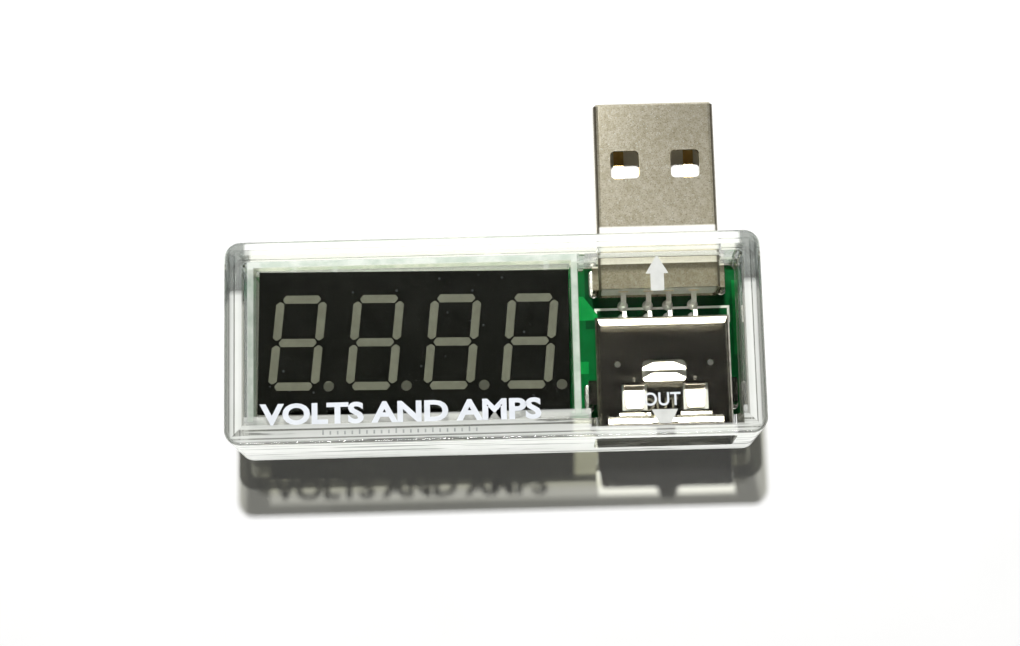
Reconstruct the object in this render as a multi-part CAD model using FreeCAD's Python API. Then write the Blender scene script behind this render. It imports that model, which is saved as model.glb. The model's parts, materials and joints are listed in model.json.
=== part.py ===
import FreeCAD, Part
import math
import os

# In-line USB power meter: a clear snap case round a circuit board that carries a four-digit
# display, a USB-A plug and a USB-A socket.
# Millimetres. The origin is the centre of the case's bottom face, +X runs along the case
# towards the connectors, +Y towards the plug's tip, +Z up out of the display.

# Case
CASE_LENGTH = 52.2
CASE_WIDTH = 20.0
CASE_HEIGHT = 12.0
CASE_CORNER = 1.6
ROOM_CORNER = 0.6
CASE_EDGE = 0.7
CASE_WALL = 1.2
CASE_FLOOR = 1.0
CASE_ROOF = 1.2
PARTING_Z = 5.9
PARTING_GAP = 0.03
SKIRT_GAP = 0.05
SKIRT_INNER = 1.9
SKIRT_BOTTOM = 3.65
SNAP_WIDTH = 1.4
SNAP_LOW = 4.6
SNAP_HIGH = 5.2
SNAP_REACH = 0.35
SNAP_CLEARANCE = 0.1
PLUG_OPENING_GAP = 0.15
SOCKET_OPENING_GAP = 0.3
ROOT = 0.1
RIB_WIDTH = 0.5
RIB_DEPTH = 0.25
RIB_POSITIONS = (-19.7, -15.7, 5.0, 8.5)
STAND_POSITIONS = (-21.5, -12.0, -3.0, 6.5, 20.8)
STAND_WIDTH = 0.8
STAND_DEPTH = 0.6
STAND_GAP = 0.1
FRAME_LOW = 8.3
FRAME_THICKNESS = 0.8
FRAME_GAP = 0.2
FRAME_FAR_GAP = 0.33

# Circuit board
BOARD_LENGTH = 49.4
BOARD_WIDTH = 15.7
BOARD_Y = 0.8
BOARD_CORNER = 1.1
BOARD_BOTTOM = 2.3
BOARD_TOP = 3.5
PAD_THICKNESS = 0.05
PAD_RADIUS = 0.6
PAD_HOLE = 0.36
CHIP_PAD_MARGIN = 0.05
SHUNT_PAD_MARGIN = 0.3
TAIL_BOTTOM = 1.45

# Numeric display
DISPLAY_X = -7.77
DISPLAY_Y = -0.2
DISPLAY_ASKEW = -0.95
DISPLAY_LENGTH = 30.1
DISPLAY_WIDTH = 14.0
DISPLAY_TOP = 10.6
FACE_THICKNESS = 0.4
SEGMENT_BOTTOM = 9.0
SEGMENT_GAP = 0.03
DIGIT_PITCH = 7.5
DIGIT_HEIGHT = 9.36
DIGIT_WIDTH = 4.9
DIGIT_SLANT = 5.0
STROKE = 0.8
STROKE_BREAK = 0.5
STROKE_BLUNT = 0.16
STROKE_POINT = 0.075
DOT_RADIUS = 0.5
DOT_OFFSET = 3.05
PIN_PITCH = 2.54
PIN_ROW = 5.08
PIN_SIZE = 0.5

# Both connectors
CONNECTOR_X = 16.4
CONTACT_OFFSETS = (-3.5, -1.0, 1.0, 3.5)
CONTACT_WIDTH = 1.0
SHEET = 0.3
BLOCK_GAP = 0.03
BLOCK_ROUND = 0.3

# Plug
PLUG_Z = 5.9
PLUG_WIDTH = 12.0
PLUG_HEIGHT = 4.5
PLUG_LENGTH = 19.05
PLUG_REAR = 5.05
PLUG_CORNER = 0.55
PLUG_CHAMFER = 0.22
PLUG_WINDOW = 2.85
PLUG_WINDOW_CORNER = 0.45
PLUG_WINDOW_OFFSET = 3.0
PLUG_WINDOW_Y = 17.75
PLUG_SEAM = 0.08
PLUG_BLOCK_REAR = 5.25
PLUG_BLOCK_FRONT = 14.1
PLUG_TONGUE_TOP = 5.85
PLUG_TONGUE_FRONT = 23.65
PLUG_LEG_REACH = 0.55
PLUG_LEG_REAR = 5.3
PLUG_LEG_LENGTH = 2.4
PLUG_LEG_TOP = 6.5
PLUG_TAIL_Y = 4.2
PLUG_TAIL_SIZE = 0.5
STRIP_THICKNESS = 0.2
STRIP_PROUD = 0.05
OUTER_STRIP_FRONT = 22.4
INNER_STRIP_FRONT = 21.4

# Socket
SOCKET_Z = 7.0
SOCKET_WIDTH = 13.1
SOCKET_HEIGHT = 5.75
SOCKET_REAR = 1.9
SOCKET_FRONT = -8.8
SOCKET_CORNER = 0.6
SOCKET_REAR_ROUND = 0.3
REAR_BEVEL_WIDTH = 0.85
REAR_BEVEL_ANGLE = 8.0
SOCKET_BACK_LOW = 7.5
SOCKET_LEG_REACH = 0.75
SOCKET_LEG_REAR = -3.9
SOCKET_LEG_LENGTH = 2.4
SOCKET_LEG_TOP = 7.3
LEG_SLOT_GAP = 0.08
BLOCK_FRONT = -0.9
TONGUE_HALF_WIDTH = 5.55
TONGUE_LOW = 7.1
TONGUE_HIGH = 8.9
TONGUE_FRONT = -8.0
TONGUE_CHAMFER = 0.25
GROOVE_WIDTH = 1.2
GROOVE_DEPTH = 0.3
POCKET_DEPTH = 0.8
BLOCK_STEP = 0.05
TAIL_ROOM = 0.5
POCKET_REAR = -6.2
POCKET_FRONT = -7.7
CONTACT_THICKNESS = 0.2
CONTACT_PATH = ((-1.2, 6.93), (-5.8, 6.7), (-7.2, 7.1))
TAIL_FRONT = -1.05
SOCKET_TAIL_Y = 2.9
SOCKET_TAIL_SIZE = 0.4
SPRING_OFFSET = 2.95
SPRING_WIDTH = 2.0
SPRING_THICKNESS = 0.22
SPRING_ROOT = -4.95
SPRING_PATH = ((-4.95, 0.0), (-5.3, -0.42), (-7.3, -0.08))
SPRING_TIP = -7.15
SPRING_TIP_WIDTH = 1.6
SPRING_TIP_ROUND = 0.3
SPRING_SLOT_GAP = 0.2
SPRING_ROOT_GAP = 0.02
SPRING_SLOT_FRONT = -7.35
LIP_WIDTH = 3.0
LIP_REAR = -7.5
LIP_FRONT = -7.88
LIP_RISE = 0.08
LIP_THINNING = 0.04
FLARE_WIDTH = 11.1
FLARE_REAR = -8.15
FLARE_RISE = 0.1
EMBOSS_RADIUS = 0.25
EMBOSS_Y = -4.3
LOUVRE_WIDTH = 4.2
LOUVRE_REAR = -2.45
LOUVRE_FRONT = -4.62
LOUVRE_CORNER = 0.5
BARS = ((-2.66, -3.46, 2.0), (-3.72, -4.55, 2.4))
BAR_THICKNESS = 0.2
BAR_SHOULDER = 0.25
BAR_TILT = 8.0
PINHOLE_RADIUS = 0.3
PINHOLE_OFFSET = 4.5
PINHOLE_Y = -2.8

# Parts under the board
CHIP_GAP = 0.1
CONTROLLER_CENTRE = (-7.85, -0.2)
CONTROLLER_SIZE = (6.5, 4.4, 0.85)
CONTROLLER_PITCH = 0.65
CONTROLLER_LEADS = 10
REGULATOR_CENTRE = (3.2, -3.6)
AMPLIFIER_CENTRE = (3.2, 3.6)
SMALL_CHIP_SIZE = (2.9, 1.6, 0.9)
SMALL_CHIP_PITCH = 0.95
LEAD_THICKNESS = 0.15
LEAD_FOOT = 0.45
LEAD_LEAN = 0.1
LEAD_REACH = 0.75
LEAD_WIDTH = 0.3
SHUNT_CENTRE = (16.4, -1.6)
SHUNT_SIZE = (6.3, 3.2, 0.6)
SMALL_SIZE = (1.6, 0.8)
CAP_LENGTH = 0.3
SHUNT_CAP_LENGTH = 0.9
RESISTOR_HEIGHT = 0.45
CAPACITOR_HEIGHT = 0.75
RESISTOR_PLACES = (
    (-19.6, 3.0), (-19.6, 1.4), (-19.6, -0.2), (-19.6, -1.8),
    (-14.0, -3.0), (-14.0, 3.0), (-1.2, 0.9), (-1.2, -0.9),
)
CAPACITOR_PLACES = ((-19.6, -3.6), (7.4, -3.6), (7.4, 3.6), (-1.2, -3.4), (-1.2, 3.4))
SOLDER_RADIUS = 0.62
SOLDER_TIP = 0.34
SOLDER_HEIGHT = 0.6
TOP_SOLDER_RADIUS = 0.54
LEG_SOLDER_HEIGHT = 0.35
LEG_SOLDER_WIDTH = 1.0
LEG_SOLDER_ROUND = 0.45
LEG_SOLDER_RIM = 0.2
CHIP_CHAMFER = 0.15
CAP_STEP = 0.03


def box(x0, x1, y0, y1, z0, z1):
    return Part.makeBox(x1 - x0, y1 - y0, z1 - z0, FreeCAD.Vector(x0, y0, z0))


def centred_box(x, y, length, width, z0, z1):
    return box(x - length / 2, x + length / 2, y - width / 2, y + width / 2, z0, z1)


def rounded_prism(x, y, length, width, z0, z1, radius):
    solid = centred_box(x, y, length, width, z0, z1)
    upright = [e for e in solid.Edges if abs(e.Vertexes[0].Z - e.Vertexes[1].Z) > (z1 - z0) / 2]
    return solid.makeFillet(radius, upright)


def case_prism(inset, z0, z1):
    """A prism of the case's outline moved inwards by the inset."""
    radius = max(CASE_CORNER - inset, ROOM_CORNER)
    return rounded_prism(0, 0, CASE_LENGTH - 2 * inset, CASE_WIDTH - 2 * inset, z0, z1, radius)


def sleeve(x, z, width, height, y0, y1, radius):
    """A rounded bar lying along Y."""
    solid = box(x - width / 2, x + width / 2, y0, y1, z - height / 2, z + height / 2)
    long_edges = [e for e in solid.Edges if abs(e.Vertexes[0].Y - e.Vertexes[1].Y) > (y1 - y0) / 2]
    return solid.makeFillet(radius, long_edges)


def polygon_prism(points, z0, z1):
    corners = [FreeCAD.Vector(px, py, z0) for px, py in points]
    face = Part.Face(Part.makePolygon(corners + corners[:1]))
    return face.extrude(FreeCAD.Vector(0, 0, z1 - z0))


def post(x, y, radius, z0, z1):
    return Part.makeCylinder(radius, z1 - z0, FreeCAD.Vector(x, y, z0))


def bent_strip(x, width, thickness, path):
    """A strip of sheet that follows a path of (y, z) points, with rounded bends and ends."""
    solid = None
    for y, z in path:
        bend = Part.makeCylinder(
            thickness / 2, width, FreeCAD.Vector(x - width / 2, y, z), FreeCAD.Vector(1, 0, 0)
        )
        solid = bend if solid is None else solid.fuse(bend)
    for (y0, z0), (y1, z1) in zip(path, path[1:]):
        run = math.hypot(y1 - y0, z1 - z0)
        side_y = -(z1 - z0) / run * thickness / 2
        side_z = (y1 - y0) / run * thickness / 2
        corners = [
            FreeCAD.Vector(x - width / 2, y0 + side_y, z0 + side_z),
            FreeCAD.Vector(x - width / 2, y1 + side_y, z1 + side_z),
            FreeCAD.Vector(x - width / 2, y1 - side_y, z1 - side_z),
            FreeCAD.Vector(x - width / 2, y0 - side_y, z0 - side_z),
        ]
        face = Part.Face(Part.makePolygon(corners + corners[:1]))
        solid = solid.fuse(face.extrude(FreeCAD.Vector(width, 0, 0)))
    return solid.removeSplitter()


def save(name, solids):
    shape = solids[0] if len(solids) == 1 else Part.makeCompound(solids)
    shape.exportStep(os.path.join("parts", name + ".step"))


def cut_all(solid, tools):
    for tool in tools:
        solid = solid.cut(tool)
    return solid


def fuse_all(solids):
    return solids[0].multiFuse(solids[1:]).removeSplitter()


def mirrored_about_socket(shape):
    """The same shape reflected through the socket's level mid-plane."""
    return shape.mirror(FreeCAD.Vector(CONNECTOR_X, 0, SOCKET_Z), FreeCAD.Vector(0, 0, 1))


def plug_opening():
    return sleeve(
        CONNECTOR_X, PLUG_Z, PLUG_WIDTH + 2 * PLUG_OPENING_GAP, PLUG_HEIGHT + 2 * PLUG_OPENING_GAP,
        CASE_WIDTH / 2 - SKIRT_INNER - 1, CASE_WIDTH / 2 + 1, PLUG_CORNER,
    )


def socket_opening():
    height = SOCKET_HEIGHT + 2 * (SOCKET_OPENING_GAP + FLARE_RISE)
    return sleeve(
        CONNECTOR_X, SOCKET_Z, SOCKET_WIDTH + 2 * SOCKET_OPENING_GAP, height,
        -CASE_WIDTH / 2 - 1, -CASE_WIDTH / 2 + SKIRT_INNER + 1, SOCKET_CORNER,
    )


def snap_block(side, reach, growth):
    """The snap bump on the skirt, or its pocket when grown by a clearance."""
    face = CASE_WIDTH / 2 - CASE_WALL - SKIRT_GAP
    near, far = sorted((side * (face - ROOT), side * (face + reach)))
    half = SNAP_WIDTH / 2 + growth
    return box(-half, half, near, far, SNAP_LOW - growth, SNAP_HIGH + growth)


def board_stands():
    """Posts along the front wall: the board rests on each foot and stops against its tall part."""
    wall = -CASE_WIDTH / 2 + CASE_WALL
    board_edge = BOARD_Y - BOARD_WIDTH / 2
    stands = []
    for x in STAND_POSITIONS:
        left, right = x - STAND_WIDTH / 2, x + STAND_WIDTH / 2
        stands.append(box(left, right, wall - ROOT, board_edge + STAND_DEPTH, CASE_FLOOR - ROOT,
                          BOARD_BOTTOM))
        stands.append(box(left, right, wall - ROOT, board_edge - STAND_GAP, CASE_FLOOR - ROOT,
                          SKIRT_BOTTOM - STAND_GAP))
    return stands


def case_bottom():
    outer = case_prism(0, 0, PARTING_Z - PARTING_GAP)
    rim = [e for e in outer.Edges if max(v.Z for v in e.Vertexes) < CASE_EDGE]
    outer = outer.makeFillet(CASE_EDGE, rim)
    lower_room = case_prism(SKIRT_INNER, CASE_FLOOR, BOARD_BOTTOM)
    upper_room = case_prism(CASE_WALL, BOARD_BOTTOM, PARTING_Z)
    pockets = [snap_block(side, SNAP_REACH + SNAP_CLEARANCE, SNAP_CLEARANCE) for side in (-1, 1)]
    tray = cut_all(outer, [lower_room, upper_room, plug_opening(), socket_opening()] + pockets)
    return fuse_all([tray] + board_stands())


def display_frame():
    """The ribs inside the roof that stand along the left, right and far sides of the display."""
    right = DISPLAY_X + DISPLAY_LENGTH / 2 + FRAME_GAP
    far = DISPLAY_Y + DISPLAY_WIDTH / 2 + FRAME_FAR_GAP
    left = DISPLAY_X - DISPLAY_LENGTH / 2 - FRAME_GAP
    near = DISPLAY_Y - DISPLAY_WIDTH / 2
    roof = CASE_HEIGHT - CASE_ROOF
    return [
        box(left - FRAME_THICKNESS, left, near, far + FRAME_THICKNESS, FRAME_LOW, roof),
        box(right, right + FRAME_THICKNESS, near, far + FRAME_THICKNESS, FRAME_LOW, roof),
        box(left, right, far, far + FRAME_THICKNESS, FRAME_LOW, roof),
    ]


def case_top():
    outer = case_prism(0, PARTING_Z, CASE_HEIGHT)
    top_rim = [e for e in outer.Edges if min(v.Z for v in e.Vertexes) > CASE_HEIGHT - CASE_EDGE]
    outer = outer.makeFillet(CASE_EDGE, top_rim)
    skirt = case_prism(CASE_WALL + SKIRT_GAP, SKIRT_BOTTOM, PARTING_Z)
    room = case_prism(SKIRT_INNER, SKIRT_BOTTOM, CASE_HEIGHT - CASE_ROOF)
    snaps = [snap_block(side, SNAP_REACH, 0) for side in (-1, 1)]
    shell = cut_all(fuse_all([outer, skirt] + snaps), [room, plug_opening(), socket_opening()])
    wall = CASE_WIDTH / 2 - SKIRT_INNER
    ribs = [
        box(x, x + RIB_WIDTH, wall - RIB_DEPTH, wall + ROOT, SKIRT_BOTTOM, CASE_HEIGHT - CASE_ROOF)
        for x in RIB_POSITIONS
    ]
    return fuse_all([shell] + ribs + display_frame())


def plug_tail_places():
    return [(CONNECTOR_X + offset, PLUG_TAIL_Y) for offset in CONTACT_OFFSETS]


def socket_tail_places():
    return [(CONNECTOR_X + offset, SOCKET_TAIL_Y) for offset in CONTACT_OFFSETS]


def display_pin_grid():
    """Pin centres in the display's own directions, measured from its centre."""
    return [((column - 2.5) * PIN_PITCH, side * PIN_ROW) for side in (-1, 1) for column in range(6)]


def display_pin_places():
    """Pin centres on the board, which the display sits on slightly askew."""
    turn = math.radians(DISPLAY_ASKEW)
    return [
        (DISPLAY_X + x * math.cos(turn) - y * math.sin(turn),
         DISPLAY_Y + x * math.sin(turn) + y * math.cos(turn))
        for x, y in display_pin_grid()
    ]


def set_askew(solids):
    for solid in solids:
        solid.rotate(FreeCAD.Vector(DISPLAY_X, DISPLAY_Y, 0), FreeCAD.Vector(0, 0, 1), DISPLAY_ASKEW)
    return solids


def leg_places():
    """Centre of each shell leg where it crosses the board, as (x, y, length)."""
    places = []
    for side in (-1, 1):
        plug_x = CONNECTOR_X + side * (PLUG_WIDTH / 2 + PLUG_LEG_REACH - SHEET / 2)
        places.append((plug_x, PLUG_LEG_REAR + PLUG_LEG_LENGTH / 2, PLUG_LEG_LENGTH))
        socket_x = CONNECTOR_X + side * (SOCKET_WIDTH / 2 + SOCKET_LEG_REACH - SHEET / 2)
        places.append((socket_x, SOCKET_LEG_REAR - SOCKET_LEG_LENGTH / 2, SOCKET_LEG_LENGTH))
    return places


def leg_slots():
    return [
        centred_box(x, y, SHEET + 2 * LEG_SLOT_GAP, length + 2 * LEG_SLOT_GAP,
                    BOARD_BOTTOM - 1, BOARD_TOP + 1)
        for x, y, length in leg_places()
    ]


def circuit_board():
    board = rounded_prism(0, BOARD_Y, BOARD_LENGTH, BOARD_WIDTH, BOARD_BOTTOM, BOARD_TOP, BOARD_CORNER)
    places = plug_tail_places() + socket_tail_places() + display_pin_places()
    holes = [post(x, y, PAD_HOLE, BOARD_BOTTOM - 1, BOARD_TOP + 1) for x, y in places]
    return cut_all(board, holes + leg_slots())


def ring_pad(x, y, outer, z0, z1):
    return post(x, y, outer, z0, z1).cut(post(x, y, PAD_HOLE, z0 - 1, z1 + 1))


def chip_lead_places(centre, size, pitch, columns_by_side):
    """Foot centres of a chip's leads, as (x, y, side)."""
    places = []
    for side, columns in columns_by_side:
        for column in columns:
            places.append((centre[0] + column * pitch, centre[1] + side * size[1] / 2, side))
    return places


def controller_lead_places():
    columns = [index - (CONTROLLER_LEADS - 1) / 2 for index in range(CONTROLLER_LEADS)]
    return chip_lead_places(
        CONTROLLER_CENTRE, CONTROLLER_SIZE, CONTROLLER_PITCH, ((-1, columns), (1, columns))
    )


def regulator_lead_places():
    return chip_lead_places(
        REGULATOR_CENTRE, SMALL_CHIP_SIZE, SMALL_CHIP_PITCH, ((-1, (-1, 1)), (1, (0,)))
    )


def amplifier_lead_places():
    return chip_lead_places(
        AMPLIFIER_CENTRE, SMALL_CHIP_SIZE, SMALL_CHIP_PITCH, ((-1, (-1, 0, 1)), (1, (-1, 1)))
    )


def board_pads():
    low = BOARD_BOTTOM - PAD_THICKNESS
    high = BOARD_TOP + PAD_THICKNESS
    pads = []
    for x, y in display_pin_places():
        pads.append(ring_pad(x, y, PAD_RADIUS, low, BOARD_BOTTOM))
    for x, y in plug_tail_places() + socket_tail_places():
        pads.append(ring_pad(x, y, PAD_RADIUS, low, BOARD_BOTTOM))
        pads.append(ring_pad(x, y, TOP_SOLDER_RADIUS, BOARD_TOP, high))
    for x, y, side in controller_lead_places() + regulator_lead_places() + amplifier_lead_places():
        foot_y = y + side * (LEAD_REACH - LEAD_FOOT / 2)
        pads.append(centred_box(x, foot_y, LEAD_WIDTH + CHIP_PAD_MARGIN, LEAD_FOOT + 4 * CHIP_PAD_MARGIN,
                                low, BOARD_BOTTOM))
    for x, y in RESISTOR_PLACES + CAPACITOR_PLACES:
        for side in (-1, 1):
            pad_x = x + side * (SMALL_SIZE[0] - CAP_LENGTH) / 2
            pads.append(centred_box(pad_x, y, CAP_LENGTH + 6 * CHIP_PAD_MARGIN,
                                    SMALL_SIZE[1] + 2 * CHIP_PAD_MARGIN, low, BOARD_BOTTOM))
    for side in (-1, 1):
        pad_x = SHUNT_CENTRE[0] + side * (SHUNT_SIZE[0] - SHUNT_CAP_LENGTH) / 2
        pads.append(centred_box(
            pad_x, SHUNT_CENTRE[1], SHUNT_CAP_LENGTH + 2 * SHUNT_PAD_MARGIN,
            SHUNT_SIZE[1] + SHUNT_PAD_MARGIN, low, BOARD_BOTTOM
        ))
    return pads


def slanted(x, y, centre_x):
    return centre_x + x + y * math.tan(math.radians(DIGIT_SLANT))


def bar_outline(x, y, length, thickness, upright):
    """Eight-sided outline of one display segment before the slant: a bar with blunt points."""
    half = length / 2
    side = thickness / 2
    shoulder = half - side + STROKE_BLUNT
    point = STROKE_POINT + (thickness - STROKE) / 2
    outline = [(-half, point), (-shoulder, side), (shoulder, side), (half, point),
               (half, -point), (shoulder, -side), (-shoulder, -side), (-half, -point)]
    if upright:
        return [(x - v, y + u) for u, v in outline]
    return [(x + u, y + v) for u, v in outline]


def digit_outlines(growth):
    reach_x = (DIGIT_WIDTH - STROKE) / 2
    reach_y = (DIGIT_HEIGHT - STROKE) / 2
    flat_length = 2 * reach_x - STROKE_BREAK + 2 * growth
    upright_length = reach_y - STROKE_BREAK + 2 * growth
    thickness = STROKE + 2 * growth
    outlines = [bar_outline(0, y, flat_length, thickness, False) for y in (-reach_y, 0, reach_y)]
    for x in (-reach_x, reach_x):
        for y in (-reach_y / 2, reach_y / 2):
            outlines.append(bar_outline(x, y, upright_length, thickness, True))
    return outlines


def segment_solids(growth, z0, z1):
    solids = []
    for digit in range(4):
        centre_x = DISPLAY_X + (digit - 1.5) * DIGIT_PITCH
        for outline in digit_outlines(growth):
            points = [(slanted(x, y, centre_x), DISPLAY_Y + y) for x, y in outline]
            solids.append(polygon_prism(points, z0, z1))
        dot_y = DISPLAY_Y - (DIGIT_HEIGHT - STROKE) / 2
        solids.append(post(centre_x + DOT_OFFSET, dot_y, DOT_RADIUS + growth, z0, z1))
    return solids


def display_parts():
    face_low = DISPLAY_TOP - FACE_THICKNESS
    housing = centred_box(
        DISPLAY_X, DISPLAY_Y, DISPLAY_LENGTH, DISPLAY_WIDTH, BOARD_TOP + CHIP_GAP, face_low
    )
    face = centred_box(DISPLAY_X, DISPLAY_Y, DISPLAY_LENGTH, DISPLAY_WIDTH, face_low, DISPLAY_TOP)
    wells = segment_solids(SEGMENT_GAP, SEGMENT_BOTTOM, face_low + 1)
    openings = segment_solids(SEGMENT_GAP, face_low - 1, DISPLAY_TOP + 1)
    foot_z = BOARD_TOP + CHIP_GAP
    pins = [
        centred_box(DISPLAY_X + x, DISPLAY_Y + y, PIN_SIZE, PIN_SIZE, TAIL_BOTTOM, foot_z)
        for x, y in display_pin_grid()
    ]
    return {
        "display_housing": set_askew([housing.cut(Part.makeCompound(wells))]),
        "display_face": set_askew([face.cut(Part.makeCompound(openings))]),
        "display_segments": set_askew(segment_solids(0, SEGMENT_BOTTOM, DISPLAY_TOP)),
        "display_pins": set_askew(pins),
    }


def side_legs(width, reach, rear, length, top):
    """Mounting legs: a shelf out from each side of the shell and a blade down through the board."""
    legs = []
    for side in (-1, 1):
        inner = CONNECTOR_X + side * (width / 2 - SHEET)
        outer = CONNECTOR_X + side * (width / 2 + reach)
        blade = outer - side * SHEET
        legs.append(box(min(inner, outer), max(inner, outer), rear, rear + length, top - SHEET, top))
        legs.append(box(min(blade, outer), max(blade, outer), rear, rear + length, TAIL_BOTTOM, top))
    return legs


def plug_shell():
    tip = PLUG_REAR + PLUG_LENGTH
    outer = sleeve(CONNECTOR_X, PLUG_Z, PLUG_WIDTH, PLUG_HEIGHT, PLUG_REAR, tip, PLUG_CORNER)
    tip_edges = [e for e in outer.Edges if min(v.Y for v in e.Vertexes) > tip - PLUG_CHAMFER]
    outer = outer.makeChamfer(PLUG_CHAMFER, tip_edges)
    legs = side_legs(PLUG_WIDTH, PLUG_LEG_REACH, PLUG_LEG_REAR, PLUG_LEG_LENGTH, PLUG_LEG_TOP)
    inner = sleeve(
        CONNECTOR_X, PLUG_Z, PLUG_WIDTH - 2 * SHEET, PLUG_HEIGHT - 2 * SHEET,
        PLUG_REAR - 1, tip + 1, PLUG_CORNER - SHEET,
    )
    windows = [
        rounded_prism(CONNECTOR_X + side * PLUG_WINDOW_OFFSET, PLUG_WINDOW_Y, PLUG_WINDOW,
                      PLUG_WINDOW, PLUG_Z - PLUG_HEIGHT, PLUG_Z + PLUG_HEIGHT, PLUG_WINDOW_CORNER)
        for side in (-1, 1)
    ]
    seam = centred_box(CONNECTOR_X, (PLUG_REAR + tip) / 2, PLUG_SEAM, PLUG_LENGTH + 2,
                       PLUG_Z - PLUG_HEIGHT, PLUG_Z)
    return cut_all(fuse_all([outer] + legs), [inner, seam] + windows)


def plug_contacts():
    strip_top = PLUG_TONGUE_TOP + STRIP_PROUD
    strip_low = strip_top - STRIP_THICKNESS
    contacts = []
    for offset in CONTACT_OFFSETS:
        front = OUTER_STRIP_FRONT if abs(offset) > 2 else INNER_STRIP_FRONT
        x = CONNECTOR_X + offset
        half = CONTACT_WIDTH / 2
        strip = box(x - half, x + half, PLUG_REAR, front, strip_low, strip_top)
        tail_half = PLUG_TAIL_SIZE / 2
        arm = box(x - tail_half, x + tail_half, PLUG_TAIL_Y - tail_half / 2, PLUG_REAR + half,
                  strip_low, strip_top)
        tail = box(x - tail_half, x + tail_half, PLUG_TAIL_Y - tail_half / 2,
                   PLUG_TAIL_Y + tail_half / 2, TAIL_BOTTOM, strip_top)
        contacts.append(fuse_all([strip, arm, tail]))
    return contacts


def plug_insulator():
    half = PLUG_WIDTH / 2 - SHEET - BLOCK_GAP
    low = PLUG_Z - PLUG_HEIGHT / 2 + SHEET + BLOCK_GAP
    high = PLUG_Z + PLUG_HEIGHT / 2 - SHEET - BLOCK_GAP
    left, right = CONNECTOR_X - half, CONNECTOR_X + half
    tongue = box(left, right, PLUG_BLOCK_REAR, PLUG_TONGUE_FRONT, low, PLUG_TONGUE_TOP)
    block = box(left, right, PLUG_BLOCK_REAR, PLUG_BLOCK_FRONT, low, high)
    body = fuse_all([tongue, block])
    long_edges = [
        e for e in body.Edges
        if abs(e.Vertexes[0].Y - e.Vertexes[1].Y) > 1 and min(v.Z for v in e.Vertexes) < low + 0.01
    ]
    top_edges = [
        e for e in body.Edges
        if abs(e.Vertexes[0].Y - e.Vertexes[1].Y) > 1 and max(v.Z for v in e.Vertexes) > high - 0.01
    ]
    body = body.makeFillet(BLOCK_ROUND, long_edges + top_edges)
    return cut_all(body, plug_contacts())


def spring_outline(x):
    """The spring's plan: it narrows from its root to a tip with rounded corners."""
    root = SPRING_WIDTH / 2
    tip = SPRING_TIP_WIDTH / 2
    rear = SPRING_ROOT + SPRING_THICKNESS
    outline = [(x - root, rear), (x - root, SPRING_PATH[1][0]), (x - tip, SPRING_TIP),
               (x + tip, SPRING_TIP), (x + root, SPRING_PATH[1][0]), (x + root, rear)]
    solid = polygon_prism(outline, SOCKET_Z, SOCKET_Z + SOCKET_HEIGHT)
    tip_corners = [
        e for e in solid.Edges
        if abs(e.Vertexes[0].Z - e.Vertexes[1].Z) > 1 and e.Vertexes[0].Y < SPRING_TIP + ROOT
    ]
    return solid.makeFillet(SPRING_TIP_ROUND, tip_corners)


def shell_springs():
    springs = {}
    plate_z = SOCKET_Z + SOCKET_HEIGHT / 2 - SHEET / 2
    for name, side in (("left", -1), ("right", 1)):
        path = [(y, plate_z + rise) for y, rise in SPRING_PATH]
        strip = bent_strip(CONNECTOR_X + side * SPRING_OFFSET, SPRING_WIDTH, SPRING_THICKNESS, path)
        spring = strip.common(spring_outline(CONNECTOR_X + side * SPRING_OFFSET))
        springs["socket_top_spring_" + name] = spring
        springs["socket_bottom_spring_" + name] = mirrored_about_socket(spring)
    return springs


def socket_plate_cuts():
    """The slots round the springs and the strip the flare replaces, in the socket's top plate."""
    low = SOCKET_Z + SOCKET_HEIGHT / 2 - 2 * SHEET
    high = SOCKET_Z + SOCKET_HEIGHT / 2 + SHEET
    root_gap = SPRING_THICKNESS / 2 + SPRING_ROOT_GAP
    half = SPRING_WIDTH / 2 + SPRING_SLOT_GAP
    cuts = [
        box(x - half, x + half, SPRING_SLOT_FRONT, SPRING_ROOT + root_gap, low, high)
        for x in (CONNECTOR_X - SPRING_OFFSET, CONNECTOR_X + SPRING_OFFSET)
    ]
    cuts.append(centred_box(CONNECTOR_X, FLARE_REAR - 1, FLARE_WIDTH + 2 * LIP_THINNING, 2, low, high))
    return cuts


def socket_lips():
    """The flared mouth edge and the raised lip in front of each spring."""
    plate_z = SOCKET_Z + SOCKET_HEIGHT / 2 - SHEET / 2
    sheet = SHEET - LIP_THINNING
    lip_path = ((LIP_REAR, plate_z), (LIP_FRONT, plate_z + LIP_RISE))
    flare_path = ((FLARE_REAR + ROOT, plate_z), (SOCKET_FRONT + sheet / 2, plate_z + FLARE_RISE))
    lips = [
        bent_strip(CONNECTOR_X + side * SPRING_OFFSET, LIP_WIDTH, sheet, lip_path)
        for side in (-1, 1)
    ]
    return lips + [bent_strip(CONNECTOR_X, FLARE_WIDTH, sheet, flare_path)]


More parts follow.
